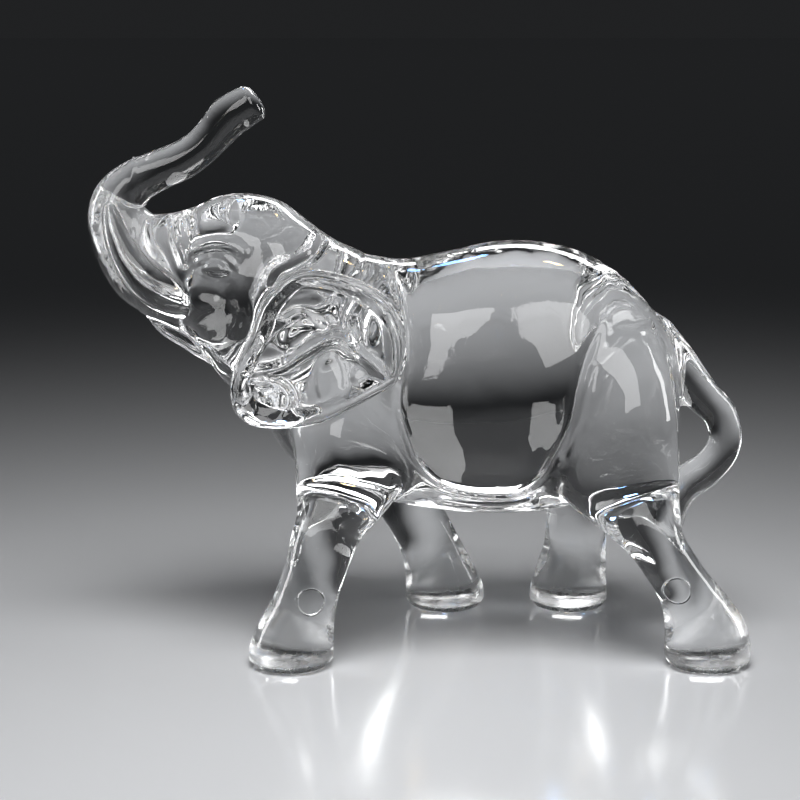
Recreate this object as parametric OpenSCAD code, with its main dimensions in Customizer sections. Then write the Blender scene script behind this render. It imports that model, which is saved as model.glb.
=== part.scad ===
// Solid crystal glass elephant, walking with its trunk raised.
// Millimetres. +Z is up, the elephant faces -Y, and its left flank is on +X.
// The glass is divided at its creases: each mass is a solid cut to meet its
// neighbours face to face, and it stands on four flat soles at z = 0.

/* [Figure] */
// Length from the trunk's bend to the tail's bend
figure_l = 150; // [124:1:181]
// Height from the soles to the trunk's tip
figure_h = 127; // [105:1:154]
// Width over the feet
figure_w = 66; // [55:1:79]

/* [Torso] */
// Half width of the barrel at its widest
torso_half_w = 27; // [22.5:0.5:30]
// Clear height under the belly
belly_clearance = 30; // [25:0.5:36]

/* [Legs] */
// Radius of a foot across its widest
foot_r = 9.4; // [7.8:0.1:11.3]
// Radius of a leg at its narrowest
ankle_r = 7; // [5.8:0.1:8.4]
// Radius of the rounded edge round a sole
sole_round = 3; // [2.5:0.1:3.6]

/* [Trunk] */
// Radius of the trunk's upper stretch
trunk_r = 4.3; // [3.5:0.1:5.2]
// Radius of the trunk's flared end
trunk_tip_r = 4.9; // [4:0.1:5.9]

/* [Ears and tusks] */
// How far an ear's rim stands out from the mid-plane
ear_reach = 30; // [28:0.5:36]
// Depth of an ear's hollow below its rim
ear_hollow = 3.4; // [2.8:0.1:4.1]
// Radius of a tusk at its thickest
tusk_r = 4.4; // [3.6:0.1:5.3]

/* [Tail] */
// Radius of the tail's loop
tail_r = 4.1; // [3.4:0.1:4.9]

/* [Hidden] */
glass = [0.86, 0.91, 0.94, 0.55];

// The tables below are drawn at these sizes, and every row is scaled from them.
drawn_l = 149;
drawn_h = 127.5;
drawn_w = 66;
drawn_torso = 27;
drawn_belly = 30.1;
drawn_foot = 9.4;
drawn_ankle = 7;
drawn_reach = 30;

kx = figure_w / drawn_w;
ky = figure_l / drawn_l;
kz = figure_h / drawn_h;

// Rows between two rows of a table, and sides round a ring.
steps = 3;
torso_sides = 40;
head_sides = 36;
leg_sides = 26;
trunk_sides = 24;
tail_sides = 20;
tusk_sides = 16;

left = 1;
right = -1;

function mix(a, b, t) = a + (b - a) * min(max(t, 0), 1);

// One Catmull-Rom step between rows b and c of a table.
function blend4(a, b, c, d, t) =
    0.5 * (2 * b + (c - a) * t + (2 * a - 5 * b + 4 * c - d) * t * t
           + (3 * b - a - 3 * c + d) * t * t * t);

// A table's rows with more between them, all on one smooth curve.
function smooth(rows) = let (last = len(rows) - 1) [
    for (i = [0 : last - 1], k = [0 : steps - 1])
        blend4(rows[max(i - 1, 0)], rows[i], rows[i + 1], rows[min(i + 2, last)], k / steps),
    rows[last]
];

// The same for a table that closes on itself.
function smooth_loop(rows) = let (n = len(rows)) [
    for (i = [0 : n - 1], k = [0 : steps - 1])
        blend4(rows[(i + n - 1) % n], rows[i], rows[(i + 1) % n], rows[(i + 2) % n], k / steps)
];

// A closed skin over equal rings, with a flat face over each end.
module skin(rings) {
    n = len(rings[0]);
    last = len(rings) - 1;
    points = [for (ring = rings) each ring];
    sides = [for (i = [0 : last - 1], j = [0 : n - 1]) let (
        a = i * n + j, b = i * n + (j + 1) % n, c = a + n, d = b + n)
        each [[a, b, d], [a, d, c]]];
    first_cap = [for (j = [n - 1 : -1 : 0]) j];
    last_cap = [for (j = [0 : n - 1]) last * n + j];
    polyhedron(points, [each sides, first_cap, last_cap], convexity = 8);
}

// Elliptical rings square to a path. Rows: x, y, z, radius across, radius in plane.
function place(r) = [r[0], r[1], r[2]];
function sweep(rows, n) = let (last = len(rows) - 1) [
    for (i = [0 : last]) let (
        along = place(rows[min(i + 1, last)]) - place(rows[max(i - 1, 0)]),
        t = along / norm(along),
        level = [1, 0, 0] - t[0] * t,
        across = level / norm(level),
        up = cross(across, t))
        [for (j = [0 : n - 1]) let (a = 360 * j / n)
            place(rows[i]) + rows[i][3] * cos(a) * across + rows[i][4] * sin(a) * up]
];

// ---- Torso and head: y, top z, bottom z, half width, how far up the widest line is
torso_rows = [
    [-36, 83.1, 57.1, 8, 0.5], [-33, 88.1, 49.1, 14, 0.5], [-29, 91.1, 43.1, 18, 0.48],
    [-23, 91.9, 38.6, 21, 0.47], [-14, 90.7, 34.7, 23.8, 0.46], [-3, 89.1, 32.3, 25.8, 0.45],
    [8, 91.1, 30.7, 26.8, 0.45], [18, 93.1, 30.1, 27, 0.46], [28, 93, 30.5, 26.9, 0.47],
    [38, 90.5, 32.5, 25.9, 0.49], [46.6, 85.3, 34.4, 23.2, 0.51], [53, 78.5, 36.4, 18.6, 0.53],
    [57.2, 72.6, 37.4, 13.2, 0.54], [59.2, 67.6, 39.2, 8.4, 0.54], [60, 63.6, 42.4, 5, 0.52]];

head_rows = [
    [-62.5, 93.5, 82.5, 4.6, 0.5], [-59.5, 96.7, 78.1, 7.6, 0.5], [-55, 98.8, 74.3, 10.6, 0.5],
    [-50, 101, 70.1, 13.2, 0.5], [-44.5, 103.5, 61.9, 15.8, 0.52], [-38, 104.1, 56.3, 17.6, 0.54],
    [-31, 102.5, 51.7, 18.8, 0.56], [-25.5, 98.7, 48.6, 19, 0.55], [-20, 94.1, 46.1, 17.8, 0.5],
    [-15.5, 89.5, 47.1, 14, 0.5]];

// A ring of two half ellipses that share their widest line.
function hoop(r, n) = let (h = r[1] - r[2], c = r[2] + r[4] * h) [
    for (j = [0 : n - 1]) let (a = 360 * j / n)
        [r[3] * cos(a), r[0], c + (sin(a) > 0 ? 1 - r[4] : r[4]) * h * sin(a)]
];

// Soft swellings on both flanks of a ring: y, z, reach, how far they stand out.
cheeks = [[-43.5, 76.6, 4.6, 2.2], [-39, 91.1, 8, 0.8]];
function stand_out(p, b) = let (dy = (p[1] - b[0] * ky) / b[2], dz = (p[2] - b[1] * kz) / b[2])
    b[3] * exp(-dy * dy - dz * dz);
function swollen(ring, bumps) = [
    for (p = ring) [p[0] + sign(p[0]) * (stand_out(p, bumps[0]) + stand_out(p, bumps[1])), p[1], p[2]]
];

torso_girth = torso_half_w / drawn_torso;
belly_rise = belly_clearance - drawn_belly * kz;
function torso_row(r) = [r[0] * ky, r[1] * kz, r[2] * kz + belly_rise, r[3] * torso_girth, r[4]];
function head_row(r) = [r[0] * ky, r[1] * kz, r[2] * kz, r[3] * kx, r[4]];

torso_rings = [for (r = smooth([for (r = torso_rows) torso_row(r)])) hoop(r, torso_sides)];
head_rings = [for (r = smooth([for (r = head_rows) head_row(r)])) swollen(hoop(r, head_sides), cheeks)];

// ---- Legs: z, y, half length, x, half width
front_left_rows = [
    [2.1, -28.1, 9.6, 23.6, 9.4], [5.6, -27.7, 9.3, 23.6, 9], [10.1, -26.7, 8.4, 23.5, 8],
    [16.1, -24.5, 7.3, 23.2, 7], [23.1, -22.1, 7.1, 22.6, 7], [29.1, -20, 7.9, 21.7, 7.4],
    [34.1, -17.2, 9.4, 20.7, 8.2], [39.1, -15.4, 11.2, 19.9, 8.9], [46.1, -14.4, 12.4, 18.5, 9.6],
    [53.1, -14.8, 12.7, 17, 9.5], [61.1, -15.2, 10.9, 14.8, 8.9], [69.1, -14.4, 8.2, 12.4, 7.6],
    [76.1, -13, 4.6, 10, 5]];
front_right_rows = [
    [2.1, 7.3, 9.6, 23.6, 9.4], [5.6, 7.1, 9.4, 23.6, 9], [10.1, 5.9, 8.5, 23.5, 8],
    [15.1, 3.9, 7.9, 23.3, 7.1], [20.1, 1.4, 7.9, 22.9, 7], [26.1, -2.2, 8.4, 22.2, 7.2],
    [32.1, -6.2, 9.4, 21.2, 7.9], [38.1, -10.4, 10.8, 20, 8.8], [46.1, -13.2, 12.3, 18.5, 9.6],
    [53.1, -14.6, 12.7, 17, 9.5], [61.1, -15.2, 10.9, 14.8, 8.9], [69.1, -14.4, 8.2, 12.4, 7.6],
    [76.1, -13, 4.6, 10, 5]];
hind_left_rows = [
    [2.1, 65, 9.7, 23.6, 9.4], [5.6, 64.9, 9.5, 23.6, 9], [10.6, 64, 8.9, 23.5, 8],
    [15.6, 61.6, 7.8, 23.2, 7.1], [20.1, 58.3, 7.3, 22.9, 7], [25.1, 54.7, 7.3, 22.3, 7.1],
    [30.1, 50.6, 8.5, 21.5, 7.8], [35.6, 46.6, 11.8, 20.5, 8.7], [41.1, 44.3, 13.9, 19.6, 9.5],
    [49.1, 43.6, 14.3, 18.6, 10.2], [58.1, 44.2, 12.8, 17.1, 10.7], [66.6, 45.4, 9.9, 14.8, 9.8],
    [74.6, 45.4, 5.8, 11.8, 6.8]];
hind_right_rows = [
    [2.1, 37.5, 9.6, 23.6, 9.4], [5.6, 37.6, 9.2, 23.6, 9], [10.6, 38.2, 8.4, 23.5, 8],
    [16.1, 39, 7.6, 23.2, 7.1], [22.6, 39.3, 7.6, 22.6, 7], [29.1, 40.5, 8.8, 21.7, 7.6],
    [35.1, 42.4, 11.3, 20.7, 8.6], [41.1, 43.6, 13.5, 19.6, 9.5], [49.1, 43.6, 14.3, 18.6, 10.2],
    [58.1, 44.2, 12.8, 17.1, 10.7], [66.6, 45.4, 9.9, 14.8, 9.8], [74.6, 45.4, 5.8, 11.8, 6.8]];

// A leg swells with the foot at its sole, the ankle above it, and the body from there up.
ankle_z = 20;
thigh_z = 40;
function swell(z, body) = z < ankle_z
    ? mix(foot_r / drawn_foot, ankle_r / drawn_ankle, z / ankle_z)
    : mix(ankle_r / drawn_ankle, body, (z - ankle_z) / (thigh_z - ankle_z));
function leg_row(r) = [max(r[0] * kz, sole_round), r[1] * ky, r[2] * swell(r[0], ky),
                       r[3] * kx, r[4] * swell(r[0], kx)];
function sole_row(r, a) = [sole_round * (1 - cos(a)), r[1], r[2] - sole_round * (1 - sin(a)),
                           r[3], r[4] - sole_round * (1 - sin(a))];
// The rounded edge of a sole turns through these angles up to the leg's first row.
sole_turns = [0, 22.5, 45, 67.5];
function leg_rings(rows, side) = let (rs = [for (r = rows) leg_row(r)]) [
    for (r = [for (a = sole_turns) sole_row(rs[0], a), each smooth(rs)])
        [for (j = [0 : leg_sides - 1]) let (a = 360 * j / leg_sides)
            [side * r[3] + r[4] * cos(a), r[1] - r[2] * sin(a), r[0]]]
];

// ---- Trunk: y, z, radius across, radius in plane
trunk_root_rows = [
    [-50, 85.9, 9.6, 11.8], [-54.5, 86.4, 9.4, 11.7], [-59.2, 87.9, 8.8, 10.9], [-63.2, 90.7, 8, 9],
    [-66, 94.7, 7.1, 7.6], [-67.5, 98.7, 6.4, 6.6], [-66.9, 102.8, 5.7, 5.9], [-63.6, 106.5, 5, 5.1]];
trunk_reach_rows = [
    [-58.6, 109.1, 1.02, 1.06], [-53.4, 111.3, 1, 1.04], [-48.9, 114.1, 1, 0.98], [-45.2, 117.7, 1, 1]];
trunk_tip_rows = [
    [-42.4, 120.9, 0.92, 0.94], [-40, 122.9, 0.92, 0.9], [-37.9, 124.2, 0.8, 0.74],
    [-36.5, 125, 0.6, 0.56], [-35.6, 125.5, 0.32, 0.3], [-35.2, 125.7, 0.14, 0.13]];
trunk_path = [
    for (r = trunk_root_rows) [0, r[0] * ky, r[1] * kz, r[2] * kx, r[3] * kz],
    for (r = trunk_reach_rows) [0, r[0] * ky, r[1] * kz, r[2] * trunk_r, r[3] * trunk_r],
    for (r = trunk_tip_rows) [0, r[0] * ky, r[1] * kz, r[2] * trunk_tip_r, r[3] * trunk_tip_r]
];
trunk_rings = sweep(smooth(trunk_path), trunk_sides);

// ---- Lower jaw, a pointed lip under the trunk's root: y, z, radius across, radius in plane
jaw_rows = [
    [-60.4, 75.7, 1.4, 0.5], [-59, 74.5, 3, 1.1], [-56.4, 72.7, 4.6, 1.6], [-52.6, 70.7, 5.6, 1.9],
    [-48.4, 68.3, 6.3, 2.1], [-44, 66.7, 6.6, 2.3], [-39, 66.5, 6.4, 2.4]];
jaw_rings = sweep(smooth([for (r = jaw_rows) [0, r[0] * ky, r[1] * kz, r[2] * kx, r[3]]]), tusk_sides);

// ---- Tusk, a crescent along the trunk's side: x, y, z, radius as a share of tusk_r
tusk_rows = [
    [8.6, -48.9, 80, 0.4], [8.9, -49.7, 80.3, 0.66], [9.2, -51.2, 80.7, 0.86], [9.6, -53.6, 81.5, 0.97],
    [9.7, -56.8, 83, 1], [9.4, -60.6, 85.5, 0.9], [8.9, -64.2, 89.7, 0.74], [8.2, -66.6, 94.5, 0.58],
    [7.4, -67.9, 98.7, 0.42], [6.7, -68.4, 101.5, 0.22], [6.5, -68.4, 102.4, 0.1]];
function tusk_rings(side) = sweep(smooth([for (r = tusk_rows)
    [side * r[0] * kx, r[1] * ky, r[2] * kz, r[3] * tusk_r, r[3] * tusk_r]]), tusk_sides);

// ---- Ear: rim points, x, y, z
ear_rim = [
    [22.2, -27, 88.9], [22.6, -18.5, 89], [25.2, -9.6, 86.1], [28, -4, 81.7], [29.4, -2, 75.9],
    [30, -2.4, 70.3], [30.2, -4.1, 65.5], [30, -8.6, 63.3], [29.7, -14.2, 60.4], [28.8, -20.6, 57.1],
    [27.6, -27.6, 55.2], [26.2, -35, 55.1], [25.2, -39.6, 57.9], [24.6, -40.8, 63.1], [24, -39.4, 69.3],
    [23.4, -36.4, 75.5], [22.6, -33.4, 82.7]];
ear_mid = [25.2, -20.5, 72.1];
ear_root_x = 7;
// Section from the root over the rim into the hollow: share of the way out to the rim,
// drop below the rim in mm, and the share of the hollow's depth.
ear_section = [
    [0.9, 7.5, 0], [0.965, 4.2, 0], [0.995, 2.4, 0], [1, 1.3, 0], [0.985, 0.4, 0], [0.952, 0, 0],
    [0.915, 0.2, 0.06], [0.87, 0.4, 0.32], [0.8, 0.5, 0.68], [0.68, 0.4, 0.95], [0.52, 0.2, 1],
    [0.34, 0, 0.86]];
// A fold runs across the hollow, y, z, and two cushions swell below it, y, z, reach, height.
ear_fold = [[-36.6, 66.2], [-29, 68.6], [-19.6, 75], [-14.6, 73.6], [-6.6, 66.2]];
fold_reach = 1.7;
fold_rise = 1.5;
ear_cushions = [[-31, 61.4, 5.5, 1.7], [-17.6, 65.6, 5, 1.3]];
function off_line(p, a, b) = norm(p - a - (b - a) * min(max((p - a) * (b - a) / norm(b - a) ^ 2, 0), 1));
function off_fold(p) = min([for (i = [1 : len(ear_fold) - 1]) off_line(p, ear_fold[i - 1], ear_fold[i])]);
function relief(y, z) = let (p = [y / ky, z / kz])
    fold_rise * exp(-(off_fold(p) / fold_reach) ^ 2)
    + stand_out([0, y, z], ear_cushions[0]) + stand_out([0, y, z], ear_cushions[1]);
function ear_point(p, mid, f, drop, hollow) = let (y = mix(mid[1], p[1], f), z = mix(mid[2], p[2], f))
    [mix(mid[0], p[0], f) - drop - hollow * (ear_hollow - relief(y, z)), y, z];
function ear_scaled(p) = [p[0] * ear_reach / drawn_reach, p[1] * ky, p[2] * kz];
// The ear closes on two smaller rings: its root in the neck, and the middle of its hollow.
ear_root_share = 0.76;
ear_floor_share = 0.15;
ear_floor_drop = 2.3;
function ear_rings() = let (rim = smooth_loop([for (p = ear_rim) ear_scaled(p)]), mid = ear_scaled(ear_mid)) [
    [for (p = rim) [ear_root_x, mix(mid[1], p[1], ear_root_share), mix(mid[2], p[2], ear_root_share)]],
    for (s = ear_section) [for (p = rim) ear_point(p, mid, s[0], s[1], s[2])],
    [for (p = rim) [mid[0] - ear_floor_drop, mix(mid[1], p[1], ear_floor_share),
                    mix(mid[2], p[2], ear_floor_share)]]
];
function flipped(ring) = [for (j = [len(ring) - 1 : -1 : 0]) [-ring[j][0], ring[j][1], ring[j][2]]];

// ---- Tail, a hanging loop whose tuft lies against the hind quarters:
// y, z, radius across, radius in plane, as shares of tail_r
tail_rows = [
    [54.6, 70.4, 1.2, 1.3], [58.6, 65.4, 1.18, 1.3], [62.4, 60.8, 1.08, 1.16], [66.1, 56.9, 1, 1],
    [69.7, 53.2, 0.98, 0.94], [71.2, 48.5, 0.98, 0.92], [70.3, 43.9, 0.97, 0.94], [67, 39.8, 0.96, 0.96],
    [62.8, 36.8, 1, 1], [60.5, 33.5, 0.96, 0.92], [59.9, 29.5, 0.72, 0.7], [60.3, 26.1, 0.42, 0.4],
    [60.8, 23.9, 0.14, 0.14]];
tail_rings = sweep(smooth([for (r = tail_rows) [0, r[0] * ky, r[1] * kz, r[2] * tail_r, r[3] * tail_r]]),
                   tail_sides);

// The figure is centred between the trunk's bend and the tail's bend.
y_front = min([for (ring = trunk_rings, p = ring) p[1]]);
y_back = max([for (ring = tail_rings, p = ring) p[1]]);
module centred() translate([0, -(y_front + y_back) / 2, 0]) children();

module torso_form() skin(torso_rings);
module head_form() skin(head_rings);
module trunk_form() skin(trunk_rings);
module jaw_form() skin(jaw_rings);
module front_leg_form(side) skin(leg_rings(side == left ? front_left_rows : front_right_rows, side));
module hind_leg_form(side) skin(leg_rings(side == left ? hind_left_rows : hind_right_rows, side));
module ear_form(side) skin(side == left ? ear_rings() : [for (ring = ear_rings()) flipped(ring)]);

module torso() color(glass) centred() torso_form();
module head() color(glass) centred() difference() { head_form(); torso_form(); }
module trunk() color(glass) centred() difference() { trunk_form(); head_form(); }
module lower_jaw() color(glass) centred() difference() { jaw_form(); head_form(); trunk_form(); }
module tusk(side) color(glass) centred() difference() {
    skin(tusk_rings(side));
    head_form();
    trunk_form();
}
module ear(side) color(glass) centred() difference() {
    ear_form(side);
    head_form();
    torso_form();
}
module front_leg(side) color(glass) centred() difference() {
    front_leg_form(side);
    torso_form();
    head_form();
    ear_form(side);
}
module hind_leg(side) color(glass) centred() difference() { hind_leg_form(side); torso_form(); }
module tail() color(glass) centred() difference() {
    skin(tail_rings);
    torso_form();
    hind_leg_form(left);
    hind_leg_form(right);
}

torso();
head();
trunk();
lower_jaw();
tusk(left);  // tusk_left
tusk(right);  // tusk_right
ear(left);  // ear_left
ear(right);  // ear_right
front_leg(left);  // leg_front_left
front_leg(right);  // leg_front_right
hind_leg(left);  // leg_hind_left
hind_leg(right);  // leg_hind_right
tail();
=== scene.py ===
import math

import bmesh
import bpy
import numpy as np
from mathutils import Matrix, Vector


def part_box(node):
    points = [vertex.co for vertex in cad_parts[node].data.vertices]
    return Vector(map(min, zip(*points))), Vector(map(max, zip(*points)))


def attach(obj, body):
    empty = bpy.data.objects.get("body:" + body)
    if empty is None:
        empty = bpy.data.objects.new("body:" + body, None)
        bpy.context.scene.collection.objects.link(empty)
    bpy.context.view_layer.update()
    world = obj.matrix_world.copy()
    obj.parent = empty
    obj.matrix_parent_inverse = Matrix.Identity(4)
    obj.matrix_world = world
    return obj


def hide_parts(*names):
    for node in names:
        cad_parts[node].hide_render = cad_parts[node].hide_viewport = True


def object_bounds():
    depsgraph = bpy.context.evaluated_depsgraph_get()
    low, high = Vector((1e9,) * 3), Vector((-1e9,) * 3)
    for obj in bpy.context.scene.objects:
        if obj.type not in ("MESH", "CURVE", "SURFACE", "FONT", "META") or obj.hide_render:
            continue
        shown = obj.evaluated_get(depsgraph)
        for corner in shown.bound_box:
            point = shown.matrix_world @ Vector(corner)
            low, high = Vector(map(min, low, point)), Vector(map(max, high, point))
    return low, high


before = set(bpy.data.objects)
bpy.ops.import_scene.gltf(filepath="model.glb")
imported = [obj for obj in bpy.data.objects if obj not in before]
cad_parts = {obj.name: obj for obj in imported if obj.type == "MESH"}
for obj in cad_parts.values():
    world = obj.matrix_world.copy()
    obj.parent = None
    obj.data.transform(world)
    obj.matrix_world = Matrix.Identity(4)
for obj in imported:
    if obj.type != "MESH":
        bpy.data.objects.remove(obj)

MM = 0.001
lo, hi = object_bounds()

# ---------------------------------------------------------------- the figure's sections
# Nearly the same stations as the CAD model's, in millimetres. The elephant faces -Y, +Z is up and its
# left flank is on +X. The drawn figure is then scaled and moved to the CAD's boxes.
DRAWN = (66, 149, 127.5)     # the figure as the tables draw it: across, long, tall
TORSO = [  # y, top, bottom, half width, share of the height below the widest line
    [-36, 83.1, 57.1, 8, 0.5], [-33, 88.1, 49.1, 14, 0.5], [-29, 91.1, 43.1, 18, 0.48],
    [-23, 91.9, 38.6, 21, 0.47], [-14, 90.7, 34.7, 23.8, 0.46], [-3, 89.1, 32.3, 25.8, 0.45],
    [8, 91.1, 30.7, 26.8, 0.45], [18, 93.1, 30.1, 27, 0.46], [28, 93, 30.5, 26.9, 0.47],
    [38, 90.5, 32.5, 25.9, 0.49], [46.6, 85.3, 34.4, 23.2, 0.51], [53, 78.5, 36.4, 18.6, 0.53],
    [57.2, 72.6, 37.4, 13.2, 0.54], [59.2, 67.6, 39.2, 8.4, 0.54], [60, 63.6, 42.4, 5, 0.52],
    [60.3, 57, 48, 1, 0.5]]
HEAD = [  # as the torso
    [-63.4, 90, 86, 1, 0.5], [-62.5, 93.5, 82.5, 4.6, 0.5], [-59.5, 96.7, 78.1, 7.6, 0.5],
    [-55, 98.8, 74.3, 10.6, 0.5], [-50, 101, 70.1, 13.2, 0.5], [-44.5, 103.5, 61.9, 15.8, 0.52],
    [-38, 104.1, 56.3, 17.6, 0.54], [-31, 102.5, 51.7, 18.8, 0.56], [-25.5, 98.7, 48.6, 19, 0.55],
    [-20, 94.1, 46.1, 17.8, 0.5], [-15.5, 89.5, 47.1, 14, 0.5], [-12, 80, 56, 8, 0.5]]
LEGS = {  # z, y, half length, x, half width
    "leg_front_left": [
        [2.1, -28.1, 9.6, 23.6, 9.4], [5.6, -27.7, 9.3, 23.6, 9], [10.1, -26.7, 8.4, 23.5, 8],
        [16.1, -24.5, 7.3, 23.2, 7], [23.1, -22.1, 7.1, 22.6, 7], [29.1, -20, 7.9, 21.7, 7.4],
        [34.1, -17.2, 9.4, 20.7, 8.2], [39.1, -15.4, 11.2, 19.9, 8.9], [46.1, -14.4, 12.4, 18.5, 9.6],
        [53.1, -14.8, 12.7, 17, 9.5], [61.1, -15.2, 10.9, 14.8, 8.9], [69.1, -14.4, 8.2, 12.4, 7.6],
        [76.1, -13, 4.6, 10, 5]],
    "leg_front_right": [
        [2.1, 7.3, 9.6, 23.6, 9.4], [5.6, 7.1, 9.4, 23.6, 9], [10.1, 5.9, 8.5, 23.5, 8],
        [15.1, 3.9, 7.9, 23.3, 7.1], [20.1, 1.4, 7.9, 22.9, 7], [26.1, -2.2, 8.4, 22.2, 7.2],
        [32.1, -6.2, 9.4, 21.2, 7.9], [38.1, -10.4, 10.8, 20, 8.8], [46.1, -13.2, 12.3, 18.5, 9.6],
        [53.1, -14.6, 12.7, 17, 9.5], [61.1, -15.2, 10.9, 14.8, 8.9], [69.1, -14.4, 8.2, 12.4, 7.6],
        [76.1, -13, 4.6, 10, 5]],
    "leg_hind_left": [
        [2.1, 65, 9.7, 23.6, 9.4], [5.6, 64.9, 9.5, 23.6, 9], [10.6, 64, 8.9, 23.5, 8],
        [15.6, 61.6, 7.8, 23.2, 7.1], [20.1, 58.3, 7.3, 22.9, 7], [25.1, 54.7, 7.3, 22.3, 7.1],
        [30.1, 50.6, 8.5, 21.5, 7.8], [35.6, 46.6, 11.8, 20.5, 8.7], [41.1, 44.3, 13.9, 19.6, 9.5],
        [49.1, 43.6, 14.3, 18.6, 10.2], [58.1, 44.2, 12.8, 17.1, 10.7], [66.6, 45.4, 9.9, 14.8, 9.8],
        [74.6, 45.4, 5.8, 11.8, 6.8]],
    "leg_hind_right": [
        [2.1, 37.5, 9.6, 23.6, 9.4], [5.6, 37.6, 9.2, 23.6, 9], [10.6, 38.2, 8.4, 23.5, 8],
        [16.1, 39, 7.6, 23.2, 7.1], [22.6, 39.3, 7.6, 22.6, 7], [29.1, 40.5, 8.8, 21.7, 7.6],
        [35.1, 42.4, 11.3, 20.7, 8.6], [41.1, 43.6, 13.5, 19.6, 9.5], [49.1, 43.6, 14.3, 18.6, 10.2],
        [58.1, 44.2, 12.8, 17.1, 10.7], [66.6, 45.4, 9.9, 14.8, 9.8], [74.6, 45.4, 5.8, 11.8, 6.8]],
}
TRUNK = [  # x, y, z, radius across, radius in plane
    [0, -50, 85.9, 9.6, 11.8], [0, -54.5, 86.4, 9.4, 11.7], [0, -59.2, 87.9, 8.8, 10.9],
    [0, -63.2, 90.7, 8, 9], [0, -66, 94.7, 7.1, 7.6], [0, -67.5, 98.7, 6.4, 6.6],
    [0, -66.9, 102.8, 5.7, 5.9], [0, -63.6, 106.5, 5, 5.1], [0, -58.6, 109.1, 4.39, 4.56],
    [0, -53.4, 111.3, 4.3, 4.47], [0, -48.9, 114.1, 4.3, 4.21], [0, -45.2, 117.7, 4.3, 4.3],
    [0, -42.4, 120.9, 4.55, 4.65], [0, -40, 122.7, 4.7, 4.7], [0, -36.6, 124.6, 4.6, 4.4]]
JAW = [  # as the trunk
    [0, -60.4, 75.7, 1.4, 0.5], [0, -59, 74.5, 3, 1.1], [0, -56.4, 72.7, 4.6, 1.6],
    [0, -52.6, 70.7, 5.6, 1.9], [0, -48.4, 68.3, 6.3, 2.1], [0, -44, 66.7, 6.6, 2.3],
    [0, -39, 66.5, 6.4, 2.4]]
TUSK = [  # as the trunk, for the left one
    [9.2, -51.2, 80.9, 3.4, 3.4], [9.6, -53.6, 81.5, 4.2, 4.2], [9.7, -56.8, 83, 4.4, 4.4],
    [9.4, -60.6, 85.5, 4, 4], [8.9, -64.2, 89.7, 3.26, 3.26], [8.2, -66.6, 94.5, 2.55, 2.55],
    [7.4, -67.9, 98.7, 1.85, 1.85], [6.7, -68.4, 101.5, 0.97, 0.97]]
TAIL = [  # as the trunk
    [0, 54.6, 70.4, 4.92, 5.33], [0, 58.6, 65.4, 4.84, 5.33], [0, 62.4, 60.8, 4.43, 4.76],
    [0, 66.1, 56.9, 4.1, 4.1], [0, 69.7, 53.2, 4.02, 3.85], [0, 71.2, 48.5, 4.02, 3.77],
    [0, 70.3, 43.9, 3.98, 3.85], [0, 67, 39.8, 3.94, 3.94], [0, 62.8, 36.8, 4.1, 4.1],
    [0, 60.5, 33.5, 3.94, 3.77], [0, 59.9, 29.5, 2.95, 2.87], [0, 60.3, 26.1, 1.72, 1.64],
    [0, 60.8, 24.2, 0.6, 0.6]]
EAR_RIM = [  # x, y, z
    [22.2, -27, 88.9], [22.6, -18.5, 89], [25.2, -9.6, 86.1], [28, -4, 81.7], [29.4, -2, 75.9],
    [30, -2.4, 70.3], [30.2, -4.1, 65.5], [30, -8.6, 63.3], [29.7, -14.2, 60.4], [28.8, -20.6, 57.1],
    [27.6, -27.6, 55.2], [26.2, -35, 55.1], [25.2, -39.6, 57.9], [24.6, -40.8, 63.1],
    [24, -39.4, 69.3], [23.4, -36.4, 75.5], [22.6, -33.4, 82.7]]
EAR_MID = (25.2, -20.5, 72.1)
EAR_ROOT_X = 7.0     # how far in towards the mid-plane an ear reaches
EAR_HOLLOW = 3.4     # depth of the ear's hollow
EAR_WALL = 3.2       # distance over which the hollow reaches its depth
EAR_EDGE = 1.3       # how far behind its front the ear keeps its full outline
EAR_TAPER = 0.03     # how fast its outline draws in behind that, towards the head
EAR_ROUND = 1.35     # radius of the rim's front edge
EAR_LIP = 1.2        # width of the rim's rounded top before the hollow starts
EAR_RIDGES = [  # line in y, z; how high it stands in the hollow; its reach
    ([[-37.4, 66.6], [-30.5, 67.6], [-25.5, 70.6], [-21.4, 73.4], [-16.6, 74.4], [-12.6, 71.6],
      [-5.6, 65.9]], 2.3, 1.25),
    ([[-9.6, 86.2], [-13, 82.2], [-15, 78], [-14.6, 73.6]], 1.5, 1.2),
    ([[-34.5, 79.5], [-29.5, 77.8], [-25.4, 79.4], [-20, 76.8], [-15, 74.6]], 0.9, 1.3)]
EAR_PADS = [  # y, z, half sizes, rise, softness of the edge
    (-33.4, 60.8, 6.4, 5, 2.3, 0.35), (-24.6, 74.4, 5, 3.6, 1.1, 0.6), (-18.6, 65.6, 3.4, 6.2, 1.0, 0.6),
    (-8.6, 75.4, 2.8, 6, 0.8, 0.6), (-11.4, 66.4, 3, 2, 0.7, 0.6)]
TRUNK_END = (0, -35.3, 125.6)        # a point of the trunk's blunt end
TRUNK_FACES = (0, 0.84, 0.54)        # the way that end faces
TRUNK_END_ROUND = 2.2
SOLE_ROUND = 3.0
FILLETS = {  # how softly each mass melts into those before it; the thin pieces hardly do
    "head": 5.0, "leg_front_left": 3.0, "leg_front_right": 3.0, "leg_hind_left": 2.6, "leg_hind_right": 2.6,
    "trunk": 4.5, "tail": 2.6, "lower_jaw": 0.9, "ear_left": 0.9, "ear_right": 0.9, "tusk_left": 0.9,
    "tusk_right": 0.9}
PINS = [(-23.2, 16.5), (57, 18.9)]   # y, z of the mould pins' marks on the left legs
PIN_RADIUS = 2.95

NAMES = ["torso", "head", "trunk", "lower_jaw", "tusk_left", "tusk_right", "ear_left", "ear_right",
         "leg_front_left", "leg_front_right", "leg_hind_left", "leg_hind_right", "tail"]


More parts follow.
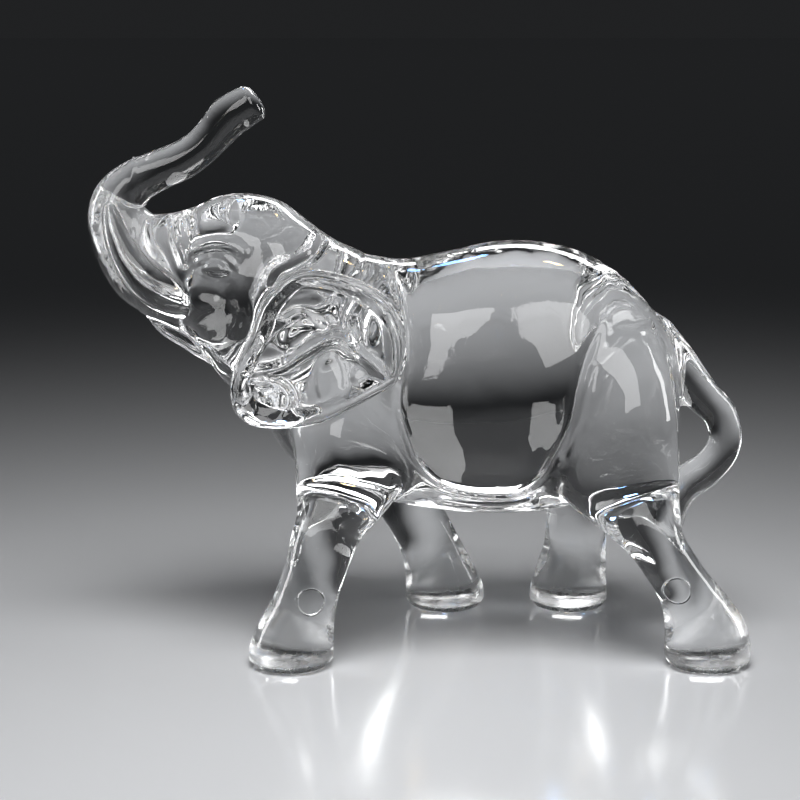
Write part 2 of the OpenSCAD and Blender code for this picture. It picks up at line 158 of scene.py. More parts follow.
def catmull(rows, steps, closed=False):
    """Rows of a table with more between them, all on one smooth curve."""
    p = np.array(rows, float)
    n = len(p)
    out = []
    for i in range(n if closed else n - 1):
        if closed:
            a, b, c, d = p[(i - 1) % n], p[i], p[(i + 1) % n], p[(i + 2) % n]
        else:
            a, b, c, d = p[max(i - 1, 0)], p[i], p[i + 1], p[min(i + 2, n - 1)]
        for k in range(steps):
            t = k / steps
            out.append(0.5 * (2 * b + (c - a) * t + (2 * a - 5 * b + 4 * c - d) * t * t
                              + (3 * b - a - 3 * c + d) * t ** 3))
    if not closed:
        out.append(p[-1])
    return np.array(out)


# ---------------------------------------------------------------- a block of space to sculpt in
STEP = 0.5           # the grid's cell, in millimetres
LOW = np.array([-35.0, -77.0, -2.5])
HIGH = np.array([35.0, 78.0, 130.0])
AX = [np.arange(LOW[i], HIGH[i] + STEP, STEP, dtype=np.float32) for i in range(3)]
SHAPE = tuple(len(a) for a in AX)
FAR = 6.0            # distances are kept only this far from a surface
STATIONS = 24        # rows worked out between two rows of a table
SWEEP_STATIONS = 30  # the same along a path
NEARBY = 5           # how far round each section of a path its distance is worked out
LINE_POINTS = 8      # points worked out between two of a crease's or a ridge's
FADE = 3             # the sculpting of the flanks fades in over this distance
FLATTEST = 0.03      # least slope of a field that is trusted as a distance


class Block:
    """A part of the grid: its slices and its coordinates, ready to broadcast."""

    def __init__(self, low, high):
        self.s = tuple(slice(max(int((low[i] - LOW[i]) / STEP), 0),
                             min(int((high[i] - LOW[i]) / STEP) + 2, SHAPE[i])) for i in range(3))
        self.x = AX[0][self.s[0]][:, None, None]
        self.y = AX[1][self.s[1]][None, :, None]
        self.z = AX[2][self.s[2]][None, None, :]


def true_distance(f):
    """A field divided by its slope, so that it reads as millimetres near its zero."""
    g = np.gradient(f, STEP)
    return np.clip(f / np.maximum(np.sqrt(g[0] ** 2 + g[1] ** 2 + g[2] ** 2), FLATTEST), -FAR, FAR)


def hoops(rows):
    """Rings of two half ellipses along y: distance over a block of the grid."""
    r = catmull(rows, STATIONS)
    spare = FAR + 2
    b = Block((-r[:, 3].max() - spare, r[0, 0] - spare, r[:, 2].min() - spare),
              (r[:, 3].max() + spare, r[-1, 0] + spare, r[:, 1].max() + spare))
    y = b.y.ravel()
    top, bottom, wide, share = (np.interp(y, r[:, 0], r[:, k]) for k in (1, 2, 3, 4))
    out = np.maximum(r[0, 0] - y, y - r[-1, 0])
    h, c = top - bottom, bottom + share * (top - bottom)
    top, bottom, wide, c, h, share, out = (v[None, :, None].astype(np.float32)
                                           for v in (top, bottom, wide, c, h, share, out))
    dz = b.z - c
    up = np.where(dz > 0, (1 - share) * h, share * h)
    f = (np.sqrt((b.x / wide) ** 2 + (dz / up) ** 2) - 1) * np.minimum(wide, up)
    f = np.maximum(f, out)
    return b, true_distance(f)


def rounded_cut(a, c, r):
    """Where both a and c are negative, with the edge between them rounded to radius r."""
    u, v = np.maximum(a + r, 0), np.maximum(c + r, 0)
    return np.minimum(np.maximum(a, c) + r, 0) + np.sqrt(u * u + v * v) - r


def leg(rows, side):
    """Upright elliptic sections down to a flat sole inside a rounded edge."""
    r = catmull(rows, STATIONS)
    spare = FAR + 1
    b = Block((LOW[0] if side < 0 else 0, (r[:, 1] - r[:, 2]).min() - spare, LOW[2]),
              (0 if side < 0 else HIGH[0], (r[:, 1] + r[:, 2]).max() + spare, r[-1, 0] + spare))
    z = b.z.ravel()
    cy, a, cx, w = (np.interp(z, r[:, 0], r[:, k])[None, None, :].astype(np.float32) for k in (1, 2, 3, 4))
    f = (np.sqrt(((b.x - side * cx) / w) ** 2 + ((b.y - cy) / a) ** 2) - 1) * np.minimum(a, w)
    d = true_distance(f)
    d = rounded_cut(d, -b.z, SOLE_ROUND)
    return b, np.maximum(d, b.z - r[-1, 0])


def sweep(rows, side=1):
    """Elliptic sections along a path."""
    r = catmull(rows, SWEEP_STATIONS)
    r[:, 0] *= side
    reach = r[:, 3:5].max() + FAR
    b = Block(r[:, :3].min(0) - reach, r[:, :3].max(0) + reach)
    d = np.full((b.x.size, b.y.size, b.z.size), FAR, np.float32)
    for x, y, z, ra, rp in r:
        m = max(ra, rp) + NEARBY
        c = Block((x - m, y - m, z - m), (x + m, y + m, z + m))
        local = tuple(slice(c.s[i].start - b.s[i].start, c.s[i].stop - b.s[i].start) for i in range(3))
        v = np.sqrt(((c.x - x) * (rp / ra)) ** 2 + (c.y - y) ** 2 + (c.z - z) ** 2) - rp
        part = d[local]
        np.minimum(part, v[: part.shape[0], : part.shape[1], : part.shape[2]], out=part)
    return b, np.clip(true_distance(d), -FAR, FAR)


def to_curve(y, z, curve):
    """Distance from points of a plane to an open curve, and how far along it they are, 0 to 1."""
    best = np.full(np.broadcast(y, z).shape, 1e9, np.float32)
    along = np.zeros_like(best)
    for i, ((ya, za), (yb, zb)) in enumerate(zip(curve[:-1], curve[1:])):
        ly, lz = yb - ya, zb - za
        t = np.clip(((y - ya) * ly + (z - za) * lz) / (ly * ly + lz * lz), 0, 1)
        d = (y - ya - t * ly) ** 2 + (z - za - t * lz) ** 2
        closer = d < best
        best = np.where(closer, d, best)
        along = np.where(closer, (i + t) / (len(curve) - 1), along)
    return np.sqrt(best), along


def bump(y, z, cy, cz, reach):
    """A soft hill, 1 at its middle."""
    return np.exp(-((y - cy) / reach) ** 2 - ((z - cz) / reach) ** 2)


def ease(t):
    """From 0 to 1 with soft ends."""
    t = np.clip(t, 0, 1)
    return t * t * (3 - 2 * t)


def pad(y, z, cy, cz, ry, rz, soft):
    """A rounded cushion, 1 in its middle and 0 outside; a small soft gives it a crisp edge."""
    r = np.sqrt(((y - cy) / ry) ** 2 + ((z - cz) / rz) ** 2)
    return ease((1 + soft / 2 - r) / soft)


def ear(side):
    """A leaf with a thick rounded rim round a folded hollow."""
    rim = catmull(EAR_RIM, 16, closed=True)
    near_x, far_x = EAR_ROOT_X - 1, HIGH[0]
    b = Block((near_x if side > 0 else -far_x, -46, 50), (far_x if side > 0 else -near_x, 3, 94))
    y, z = b.y[0], b.z[0]
    ym, zm = EAR_MID[1], EAR_MID[2]
    ang = np.arctan2(rim[:, 2] - zm, rim[:, 1] - ym)
    order = np.argsort(ang)
    ang, rad, rx = ang[order], np.hypot(rim[:, 2] - zm, rim[:, 1] - ym)[order], rim[order, 0]
    th = np.arctan2(z - zm, y - ym)
    r_out = np.interp(th, ang, rad, period=2 * math.pi)
    x_out = np.interp(th, ang, rx, period=2 * math.pi)
    f = np.hypot(z - zm, y - ym) / r_out
    closed = np.vstack([rim[:, 1:], rim[:1, 1:]])
    s = to_curve(y, z, closed)[0] * np.where(f < 1, 1, -1)     # inward from the rim
    level = EAR_MID[0] + (x_out - EAR_MID[0]) * np.clip(f, 0, 1.15)
    relief = sum(rise * np.exp(-(to_curve(y, z, catmull(line, LINE_POINTS))[0] / reach) ** 2)
                 for line, rise, reach in EAR_RIDGES)
    relief = relief + sum(rise * pad(y, z, cy, cz, ry, rz, soft) for cy, cz, ry, rz, rise, soft in EAR_PADS)
    # The rim is widest at its upper rear and narrowest along the bottom.
    lip = EAR_LIP + 1.7 * bump(y, z, -3, 80, 10) - 0.45 * bump(y, z, -18, 58, 12)
    hollow = ease((s - lip) / EAR_WALL)
    front = level - 0.25 * hollow - hollow * (EAR_HOLLOW - relief)
    gy, gz = np.gradient(front, STEP)
    slope = np.sqrt(1 + gy ** 2 + gz ** 2)
    x = np.abs(b.x)
    d_front = (x - front[None]) / slope[None]
    drop = np.maximum(level[None] - x, 0)
    d_side = EAR_TAPER * np.maximum(drop - EAR_EDGE, 0) ** 2 - s[None]
    d = rounded_cut(d_side, d_front, EAR_ROUND)
    return b, np.clip(np.maximum(d, EAR_ROOT_X - x), -FAR, FAR).astype(np.float32)


def blunt(b, d, point, along, corner):
    """Cuts a form's end square across at a point, with a rounded corner."""
    (x, y, z), (ax, ay, az) = point, along
    plane = (b.x - x) * ax + (b.y - y) * ay + (b.z - z) * az
    return b, rounded_cut(d, plane.astype(np.float32), corner)


def whole(b, d):
    """A block's field on the whole grid."""
    out = np.full(SHAPE, FAR, np.float32)
    out[b.s] = d
    return out


def melt(field, b, d, fillet):
    """Joins a block into the field, with a fillet where the two surfaces cross."""
    s = field[b.s]
    h = np.maximum(fillet - np.abs(s - d), 0) / fillet
    field[b.s] = np.minimum(s, d) - h * h * fillet * 0.25


parts = {
    "torso": hoops(TORSO),
    "head": hoops(HEAD),
    "trunk": blunt(*sweep(TRUNK), TRUNK_END, TRUNK_FACES, TRUNK_END_ROUND),
    "lower_jaw": sweep(JAW),
    "tusk_left": sweep(TUSK),
    "tusk_right": sweep(TUSK, side=-1),
    "ear_left": ear(1),
    "ear_right": ear(-1),
    "tail": sweep(TAIL)}
for name, rows in LEGS.items():
    parts[name] = leg(rows, 1 if name.endswith("left") else -1)

glass = whole(*parts["torso"])
for name, fillet in FILLETS.items():
    melt(glass, *parts[name], fillet)


# ---------------------------------------------------------------- sculpting both flanks alike
def flank_block(y0, y1, z0, z1, x0):
    """Both flanks' grid over a window of the side view, fading in beyond x0 from the middle."""
    b = Block((LOW[0], y0, z0), (HIGH[0], y1, z1))
    return b, ease((np.abs(b.x) - x0) / FADE)


def crease(line, depth, reach, x0=5.0, taper=0.12):
    """Presses a groove along a line of the side view into both flanks; a negative depth raises a ridge."""
    c = catmull(line, LINE_POINTS)
    m = 3 * reach + 1
    b, fade = flank_block(c[:, 0].min() - m, c[:, 0].max() + m, c[:, 1].min() - m, c[:, 1].max() + m, x0)
    d, u = to_curve(b.y[0], b.z[0], c)
    cut = depth * np.exp(-(d / reach) ** 2) * ease(u / taper) * ease((1 - u) / taper)
    glass[b.s] += (fade * cut[None]).astype(np.float32)


def cushion(cy, cz, ry, rz, rise, soft, x0=5.0):
    """Raises a cushion on both flanks."""
    m = 1 + soft
    b, fade = flank_block(cy - ry * m, cy + ry * m, cz - rz * m, cz + rz * m, x0)
    glass[b.s] -= (fade * rise * pad(b.y, b.z, cy, cz, ry, rz, soft)).astype(np.float32)


# The belly hangs as a smooth dome inside a U-shaped crease, between the shoulder and the thigh.
BELLY_U = [[-6.5, 90], [-4, 83.5], [-2, 76.5], [-1.6, 70.5], [-3, 65], [-3.4, 59], [-1.8, 52.2], [0.8, 46],
           [5.8, 40.9], [13.2, 38.4], [21.7, 38.2], [27, 42], [30.4, 48.4], [33.4, 55.7], [34.8, 63.8],
           [36.8, 70.8], [40.7, 78.3]]
crease(BELLY_U, 1.15, 0.95, taper=0.06)
crease(BELLY_U, 0.8, 3.6, taper=0.1)
cushion(15.5, 60, 17, 19, 0.8, 1.5)
# A second fine line beside the thigh's crease, and the channel between the dome and the underside.
crease([[31.6, 47], [35, 55.7], [36.8, 63.6], [38.8, 69.8]], 0.5, 0.7)
crease([[4, 36.4], [13, 34.2], [21.5, 34], [27, 36.4]], 0.7, 1.0, x0=3)
# The shoulder and the thigh swell on their own.
cushion(-15, 50, 11, 14, 0.6, 1.4, x0=9)
cushion(47, 58, 10, 17, 0.7, 1.5, x0=9)
# Brow, eyelid, eyeball with a line over and under it, two cheeks, and two folds at the trunk's root.
crease([[-51, 92.4], [-48, 93.6], [-44.4, 94.6], [-40, 94], [-36.6, 91.8]], -0.5, 1.2, x0=6)
crease([[-50, 91], [-47.4, 91.9], [-44.2, 92.6], [-41, 92], [-38.6, 90.2]], 0.35, 0.8, x0=6)
cushion(-44.1, 89.1, 2.7, 1.7, 0.6, 0.9, x0=6)
crease([[-48, 88.6], [-46, 90.3], [-44, 90.9], [-41.8, 89.9], [-40, 87.9]], 0.5, 0.55, x0=6)
crease([[-47.6, 88.2], [-45.6, 87.3], [-43.2, 87], [-40.4, 87.8]], 0.45, 0.55, x0=6)
cushion(-46.6, 78.2, 4.6, 4.8, 1.0, 0.9, x0=4)
cushion(-39.4, 78, 2.7, 4.3, 0.5, 0.9, x0=6)
crease([[-54.6, 99.6], [-54.2, 96], [-52.4, 91.6], [-51.2, 88.6]], 0.6, 0.8, x0=2)
crease([[-52, 99.8], [-51.2, 96.4], [-49.6, 92.6]], 0.4, 0.7, x0=2)
# The neck's crease runs from behind the dome of the head down to the ear.
crease([[-18.6, 97.4], [-20.6, 94.4], [-22.4, 91.4], [-26, 89.6], [-30, 87.6], [-31.4, 84]], 0.9, 1.0, x0=2)

# Which mass of glass each point belongs to: the first in line that holds it, or else the nearest.
CLAIM = -100      # below every distance, so that a mass which holds a point wins over any that doesn't
owner = np.zeros(SHAPE, np.uint8)
near = np.full(SHAPE, 1e3, np.float32)
for rank, name in enumerate(NAMES):
    b, d = parts[name]
    bid = np.where(d < 0, np.float32(CLAIM + rank), d)
    take = bid < near[b.s]
    owner[b.s] = np.where(take, rank + 1, owner[b.s])
    near[b.s] = np.where(take, bid, near[b.s])
del near
owner[glass >= 0] = 0


# ---------------------------------------------------------------- from the field to closed pieces
SETTLE_ROUNDS = 6
JUST_INSIDE = -0.02       # the most that the distance may be at a point given to a mass


def nets(field, owner):
    """One vertex in each cell that the surface, or a seam between two masses, passes through.
    Returns the vertices, which of them are on the outer surface, four-sided faces, and the owner on each
    side of every face."""
    n = field.shape
    cells = (n[0] - 1, n[1] - 1, n[2] - 1)
    total = int(np.prod(cells))
    stride = (cells[1] * cells[2], cells[2], 1)
    acc = np.zeros((2, 4, total), np.float64)        # 0 the outer surface, 1 the seams
    faces, sides = [], []
    for a in range(3):
        o1, o2 = [i for i in range(3) if i != a]
        first = tuple(slice(None, -1) if i == a else slice(None) for i in range(3))
        second = tuple(slice(1, None) if i == a else slice(None) for i in range(3))
        la, lb = owner[first], owner[second]
        idx = np.argwhere(la != lb)
        ok = (idx[:, o1] > 0) & (idx[:, o2] > 0) & (idx[:, o1] < n[o1] - 1) & (idx[:, o2] < n[o2] - 1)
        idx = idx[ok]
        i = tuple(idx.T)
        va, vb = la[i], lb[i]
        fa, fb = field[first][i].astype(float), field[second][i].astype(float)
        outer = (va == 0) | (vb == 0)
        t = np.where(outer, fa / np.where(np.abs(fa - fb) < 1e-9, 1e-9, fa - fb), 0.5)
        t = np.clip(t, 0, 1)
        pos = idx.astype(float)
        pos[:, a] += t
        ring = []
        for d1, d2 in ((0, 0), (-1, 0), (-1, -1), (0, -1)):
            c = idx.copy()
            c[:, o1] += d1
            c[:, o2] += d2
            ring.append(c[:, 0] * stride[0] + c[:, 1] * stride[1] + c[:, 2] * stride[2])
        for c in ring:
            for kind in (0, 1):
                m = outer if kind == 0 else ~outer
                for k in range(3):
                    acc[kind, k] += np.bincount(c[m], weights=pos[m, k], minlength=total)
                acc[kind, 3] += np.bincount(c[m], minlength=total)
        ring = np.stack(ring, 1)
        if a == 1:
            ring = ring[:, ::-1]
        # As it stands the face looks along +a, out of the first side's solid.
        flip = va == 0
        ring[flip] = ring[flip][:, ::-1]
        faces.append(ring)
        sides.append(np.stack([np.where(flip, vb, va), np.where(flip, va, vb)], 1))
    faces, sides = np.vstack(faces), np.vstack(sides)
    used = np.unique(faces)
    number = np.zeros(total, np.int64)
    number[used] = np.arange(len(used))
    outer = acc[0, 3, used] > 0
    which = np.where(outer, 0, 1)
    pos = np.stack([acc[which, k, used] / np.maximum(acc[which, 3, used], 1) for k in range(3)], 1)
    return pos * STEP + LOW, outer, number[faces], sides


def settle(owner, field):
    """Removes corner-to-corner contacts, which would leave an edge with four faces."""
    for _ in range(SETTLE_ROUNDS):
        changed = 0
        for a in range(3):
            o1, o2 = [i for i in range(3) if i != a]

            def corner(d1, d2):
                s = [slice(None)] * 3
                s[o1] = slice(d1, -1 if d1 == 0 else None)
                s[o2] = slice(d2, -1 if d2 == 0 else None)
                return owner[tuple(s)]
            c00, c10, c01, c11 = corner(0, 0), corner(1, 0), corner(0, 1), corner(1, 1)
            falling = (c00 == c11) & (c00 != c10) & (c00 != c01)
            rising = (c10 == c01) & (c10 != c00) & (c10 != c11)
            idx = np.argwhere(falling | rising)
            changed += len(idx)
            for at in idx:
                corners = []
                for d1, d2 in ((0, 0), (1, 0), (0, 1), (1, 1)):
                    q = at.copy()
                    q[o1] += d1
                    q[o2] += d2
                    corners.append(tuple(q))
                labels = [owner[q] for q in corners]
                solid = [v for v in labels if v]
                pick = max(solid, key=labels.count) if solid else 0
                for q, v in zip(corners, labels):
                    if v != pick:
                        owner[q] = pick
                        field[q] = min(field[q], JUST_INSIDE)
                        break
        if not changed:
            break


settle(owner, glass)
points, outer, quads, sides = nets(glass, owner)
slope = [g.astype(np.float32) for g in np.gradient(glass, STEP)]


def sample(grid, pts):
    """Value of a grid between its nodes."""
    g = (pts - LOW) / STEP
    i = np.clip(np.floor(g).astype(int), 0, np.array(SHAPE) - 2)
    f = g - i
    out = 0
    for dx in (0, 1):
        for dy in (0, 1):
            for dz in (0, 1):
                w = (np.abs(1 - dx - f[:, 0]) * np.abs(1 - dy - f[:, 1]) * np.abs(1 - dz - f[:, 2]))
                out = out + w * grid[i[:, 0] + dx, i[:, 1] + dy, i[:, 2] + dz]
    return out


def steepest(pts):
    """The field's slope along x, y and z."""
    return np.stack([sample(s, pts) for s in slope], 1)


# Outer vertices settle on the surface itself, and take their normals from the field.
skin = points[outer]
for _ in range(4):
    g = steepest(skin)
    off = np.clip(sample(glass, skin), -STEP, STEP)
    skin = skin - off[:, None] * g / np.maximum((g * g).sum(1), 0.05)[:, None]
skin[:, 2] = np.maximum(skin[:, 2], 0)
points[outer] = skin
normals = np.zeros_like(points)
g = steepest(skin)
normals[outer] = g / np.linalg.norm(g, axis=1)[:, None]

# Seam vertices inside the glass relax to an even sheet between the surface vertices.
edges = np.vstack([quads[:, [0, 1]], quads[:, [1, 2]], quads[:, [2, 3]], quads[:, [3, 0]]])
edges = np.unique(np.sort(edges, 1), axis=0)
edges = edges[~(outer[edges[:, 0]] & outer[edges[:, 1]])]
count = np.bincount(edges.ravel(), minlength=len(points))
PULL = 0.6        # how far a seam vertex goes towards its neighbours' middle each time
for _ in range(12):
    total = np.stack([np.bincount(edges[:, 0], weights=points[edges[:, 1], k], minlength=len(points))
                      + np.bincount(edges[:, 1], weights=points[edges[:, 0], k], minlength=len(points))
                      for k in range(3)], 1)
    relaxed = (1 - PULL) * points + PULL * total / np.maximum(count, 1)[:, None]
    points = np.where(outer[:, None], points, relaxed)

# The table's millimetres become the frame's metres: both boxes have the trunk's bend at their front.
trunk_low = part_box("trunk")[0]
KX, KY, KZ = ((hi[i] - lo[i]) / MM / DRAWN[i] for i in range(3))
trunk_front = points[np.unique(quads[sides[:, 0] == NAMES.index("trunk") + 1])][:, 1].min()
shift = trunk_low[1] / MM - trunk_front * KY
points = np.stack([points[:, 0] * KX, points[:, 1] * KY + shift, points[:, 2] * KZ], 1) * MM
normals = normals / np.array([KX, KY, KZ])
normals /= np.maximum(np.linalg.norm(normals, axis=1), 1e-9)[:, None]


# ---------------------------------------------------------------- materials, in metres
GRIND_SCALE = 900                # cells of noise in a metre, here and in the next four
SMEAR_SCALE = 45
WAVE_SCALE = 75
PATCH_SCALE = 38
CRINKLE_SCALE = 420
SOLE_BAND = (0.0006, 0.0048)     # the ground sole's dullness fades out between these heights
SOLE_ROUGHNESS = 0.62
SMEAR_ROUGHNESS = 0.035
WAVE_HEIGHT = 0.00035            # fire-polish waves
CRINKLE_HEIGHT = 0.00005
PIN_LINE = 0.00026               # half the width of a mould pin's line
PIN_HEIGHT = 0.00022
PIN_SIDE = 0.024                 # the pins' marks are further out than this from the mid-plane


def add(tree, kind, inputs=None, **values):
    """A node with its properties and inputs set; an input is a number or another node's output."""
    node = tree.nodes.new(kind)
    for key, value in values.items():
        setattr(node, key, value)
    for key, value in (inputs or {}).items():
        if isinstance(value, bpy.types.NodeSocket):
            tree.links.new(value, node.inputs[key])
        else:
            node.inputs[key].default_value = value
    return node


def math_node(tree, operation, *inputs):
    """The result of a Math node."""
    return add(tree, "ShaderNodeMath", dict(enumerate(inputs)), operation=operation).outputs[0]


def ramp(tree, value, start, end, first, last):
    """Maps a value's stretch from start to end onto first to last."""
    inputs = {"Value": value, "From Min": start, "From Max": end, "To Min": first, "To Max": last}
    return add(tree, "ShaderNodeMapRange", inputs).outputs["Result"]


def noise(tree, place, scale, detail, **more):
    """Smooth noise, about 0 to 1."""
    inputs = {"Vector": place, "Scale": scale, "Detail": detail, **more}
    return add(tree, "ShaderNodeTexNoise", inputs).outputs["Fac"]


def glass_roughness(tree, place, height):
    """Almost none, but for the ground soles and a few handling smears."""
    sole = ramp(tree, height, *SOLE_BAND, 1, 0)
    dull = math_node(tree, "MULTIPLY", sole, noise(tree, place, GRIND_SCALE, 3))
    smears = ramp(tree, noise(tree, place, SMEAR_SCALE, 4, Roughness=0.6), 0.52, 0.75, 0, SMEAR_ROUGHNESS)
    return math_node(tree, "MULTIPLY_ADD", dull, SOLE_ROUGHNESS, smears)


def pin_rings(tree, axes):
    """A mould pin's fine ring on the outer side of each left leg: 1 on its line, 0 off it."""
    side_view = add(tree, "ShaderNodeCombineXYZ", {"Y": axes["Y"], "Z": axes["Z"]}).outputs[0]
    lines = []
    for y, z in PINS:
        centre = (0, (y * KY + shift) * MM, z * KZ * MM)
        away = add(tree, "ShaderNodeVectorMath", {0: side_view, 1: centre}, operation="DISTANCE")
        off = math_node(tree, "SUBTRACT", away.outputs["Value"], PIN_RADIUS * MM)
        off = math_node(tree, "ABSOLUTE", off)
        lines.append(ramp(tree, off, 0, PIN_LINE, 1, 0))
    outside = math_node(tree, "GREATER_THAN", axes["X"], PIN_SIDE)
    return math_node(tree, "MULTIPLY", math_node(tree, "ADD", *lines), outside)


def glass_normal(tree, place, axes):
    """Long fire-polish waves, short crinkles in patches only, and the mould pins' rings."""
    waves = noise(tree, place, WAVE_SCALE, 2, Roughness=0.4)
    patches = ramp(tree, noise(tree, place, PATCH_SCALE, 1), 0.5, 0.66, 0, 1)
    crinkles = math_node(tree, "MULTIPLY", noise(tree, place, CRINKLE_SCALE, 2, Distortion=0.6), patches)
    rings = pin_rings(tree, axes)
    inputs = {"Strength": 1}
    for relief, height in ((waves, WAVE_HEIGHT), (crinkles, CRINKLE_HEIGHT), (rings, PIN_HEIGHT)):
        bumped = add(tree, "ShaderNodeBump", {**inputs, "Height": relief, "Distance": height})
        inputs["Normal"] = bumped.outputs["Normal"]
    return inputs["Normal"]


def glass_material():
    """Clear pressed crystal."""
    material = bpy.data.materials.new("crystal_glass")
    material.use_nodes = True
    tree = material.node_tree
    shader = tree.nodes["Principled BSDF"]
    shader.inputs["Base Color"].default_value = (0.985, 0.992, 0.996, 1)
    shader.inputs["Transmission Weight"].default_value = 1
    shader.inputs["IOR"].default_value = 1.54
    place = add(tree, "ShaderNodeTexCoord").outputs["Object"]
    axes = add(tree, "ShaderNodeSeparateXYZ", {0: place}).outputs
    tree.links.new(glass_roughness(tree, place, axes["Z"]), shader.inputs["Roughness"])
    tree.links.new(glass_normal(tree, place, axes), shader.inputs["Normal"])
    return material


def seam_material():
    """Nothing to see: inside the glass, where two masses are one."""
    material = bpy.data.materials.new("fused_seam")
    material.use_nodes = True
    tree = material.node_tree
    tree.nodes.remove(tree.nodes["Principled BSDF"])
    clear = add(tree, "ShaderNodeBsdfTransparent", {"Color": (1, 1, 1, 1)})
    tree.links.new(clear.outputs[0], tree.nodes["Material Output"].inputs["Surface"])
    return material


def floor_material():
    """Pale satin board."""
    material = bpy.data.materials.new("floor_pale")
    material.use_nodes = True
    shader = material.node_tree.nodes["Principled BSDF"]
    shader.inputs["Base Color"].default_value = (0.74, 0.75, 0.77, 1)
    shader.inputs["Roughness"].default_value = 0.16
    return material


glass_mat, seam_mat = glass_material(), seam_material()


# ---------------------------------------------------------------- one closed piece for each mass
def piece(number, name):
    """The faces that bound one mass, with the glass's normals outside and clear seams inside."""
    own, other = sides[:, 0] == number, sides[:, 1] == number
    faces = np.vstack([quads[own], quads[other][:, ::-1]])
    seam = np.concatenate([sides[own, 1], sides[other, 0]]) != 0
    used, faces = np.unique(faces, return_inverse=True)
    faces = faces.reshape(-1, 4)
    mesh = bpy.data.meshes.new("glass_" + name)
    mesh.vertices.add(len(used))
    mesh.vertices.foreach_set("co", points[used].ravel())
    mesh.loops.add(faces.size)
    mesh.loops.foreach_set("vertex_index", faces.ravel())
    mesh.polygons.add(len(faces))
    mesh.polygons.foreach_set("loop_start", np.arange(0, faces.size, 4))
    mesh.materials.append(glass_mat)
    mesh.materials.append(seam_mat)
    mesh.polygons.foreach_set("material_index", seam.astype(np.int32))
    mesh.polygons.foreach_set("use_smooth", ~seam)
    mesh.update(calc_edges=True)
    mesh.validate()
    loop = normals[used][faces]
    loop[seam] = 0
    mesh.normals_split_custom_set(loop.reshape(-1, 3))
    obj = bpy.data.objects.new("glass_" + name, mesh)
    bpy.context.scene.collection.objects.link(obj)
    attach(obj, "root")
    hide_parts(name)
    return obj


glass_pieces = [piece(number, name) for number, name in enumerate(NAMES, 1)]

# ---------------------------------------------------------------- floor
FLOOR_HALF = 6
FLOOR_GAP = 0.00005      # keeps the soles from lying in the floor's own plane
floor_mesh = bpy.data.meshes.new("floor")
grid = bmesh.new()
bmesh.ops.create_grid(grid, x_segments=2, y_segments=2, size=FLOOR_HALF)
grid.to_mesh(floor_mesh)
grid.free()
floor = bpy.data.objects.new("floor", floor_mesh)
floor.location.z = lo[2] - FLOOR_GAP
bpy.context.scene.collection.objects.link(floor)
floor_mesh.materials.append(floor_material())

# ---------------------------------------------------------------- light
EYE_HEIGHT = 0.056       # the height that the lights and the camera look at
middle = Vector(((lo[0] + hi[0]) / 2, (lo[1] + hi[1]) / 2, EYE_HEIGHT))
WHITE = (1, 1, 1)
SOFTBOXES = (  # name, azimuth, elevation, distance, width, height, brightness, colour
    ("key", 66, 40, 0.75, 0.22, 0.62, 4.5, WHITE),
    ("fill", 116, 40, 0.75, 0.34, 0.62, 4.5, WHITE),
    ("rim", 258, 36, 0.8, 0.44, 0.14, 9, WHITE),
    ("side_front", 348, 14, 0.7, 0.14, 0.4, 8, WHITE),
    ("side_rear", 192, 14, 0.7, 0.14, 0.4, 8, WHITE),
    ("glint_blue", 283, 52, 0.7, 0.05, 0.05, 22, (0.25, 0.5, 1)),
    ("glint_amber", 236, 62, 0.7, 0.04, 0.04, 22, (1, 0.72, 0.35)))


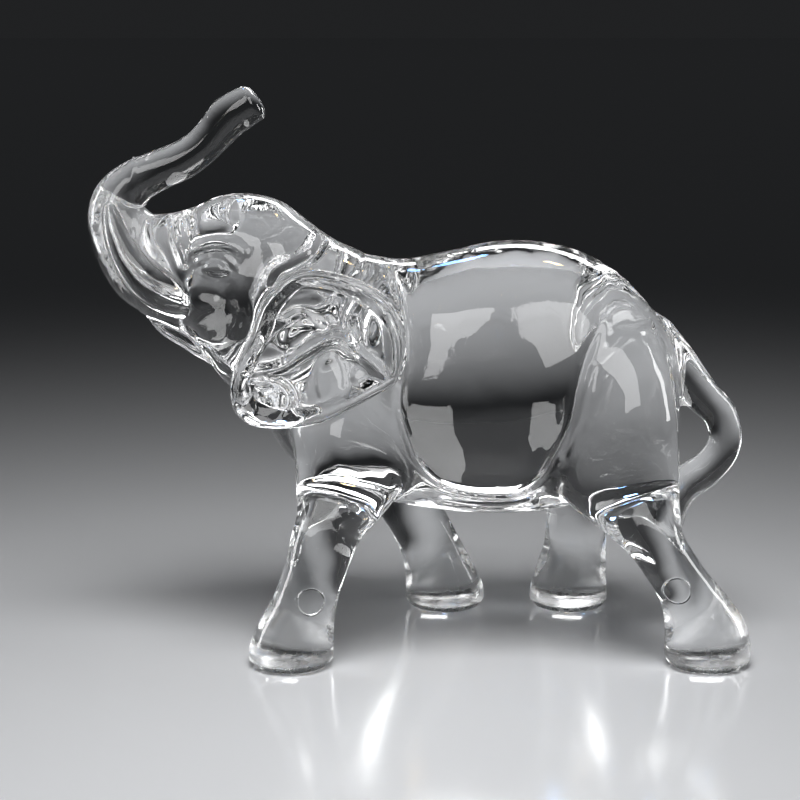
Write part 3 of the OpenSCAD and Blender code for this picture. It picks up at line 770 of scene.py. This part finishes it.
def softbox(name, azimuth, elevation, distance, wide, tall, brightness, colour, aim=middle):
    """An area light; azimuth runs from the elephant's front, -Y, towards its left, +X."""
    a, e = math.radians(azimuth), math.radians(elevation)
    light = bpy.data.lights.new(name, "AREA")
    light.shape = "RECTANGLE"
    light.size, light.size_y = wide, tall
    light.energy = brightness * math.pi * light.size * light.size_y
    light.color = colour
    obj = bpy.data.objects.new(name, light)
    direction = Vector((math.sin(a) * math.cos(e), -math.cos(a) * math.cos(e), math.sin(e)))
    obj.location = middle + distance * direction
    obj.rotation_euler = (aim - obj.location).to_track_quat("-Z", "Y").to_euler()
    bpy.context.scene.collection.objects.link(obj)
    return obj


def shine_on(lights, objects, name):
    """Lights that shine on these objects only."""
    group = bpy.data.collections.new(name)
    for obj in objects:
        group.objects.link(obj)
    for light in lights:
        light.light_linking.receiver_collection = group


# The softboxes shine on the glass alone, and the pale floor has one of its own, so that it stays even.
shine_on([softbox(*row) for row in SOFTBOXES], glass_pieces, "lit_by_softboxes")
top = softbox("top", 90, 60, 0.55, 0.36, 0.36, 1.75, WHITE, aim=Vector((0.1, 0, 0)))
top.data.spread = math.radians(70)
shine_on([top], [floor], "lit_from_the_top")

world = bpy.data.worlds.new("studio")
bpy.context.scene.world = world
world.use_nodes = True
backdrop = world.node_tree.nodes["Background"]
backdrop.inputs["Color"].default_value = (0.5, 0.52, 0.55, 1)
backdrop.inputs["Strength"].default_value = 0.03
bpy.context.scene.view_settings.view_transform = "Standard"

# ---------------------------------------------------------------- camera
CAMERA_AWAY = 0.49
CAMERA_ELEVATION = math.radians(11)
AIM_FORWARD = 0.0041     # how far in front of the middle the photo is centred
camera_data = bpy.data.cameras.new("camera")
camera_data.lens = 95.48
camera_data.sensor_width = 36
camera = bpy.data.objects.new("camera", camera_data)
bpy.context.scene.collection.objects.link(camera)
aim = Vector((0, middle[1] - AIM_FORWARD, EYE_HEIGHT))
camera.location = aim + CAMERA_AWAY * Vector((math.cos(CAMERA_ELEVATION), 0, math.sin(CAMERA_ELEVATION)))
camera.rotation_euler = (aim - camera.location).to_track_quat("-Z", "Y").to_euler()
bpy.context.scene.camera = camera

# Light crosses the glass many times, and goes through a see-through seam at each contact.
cycles = bpy.context.scene.cycles
cycles.max_bounces = 24
cycles.transmission_bounces = 24
cycles.glossy_bounces = 12
cycles.transparent_max_bounces = 64
cycles.caustics_refractive = True
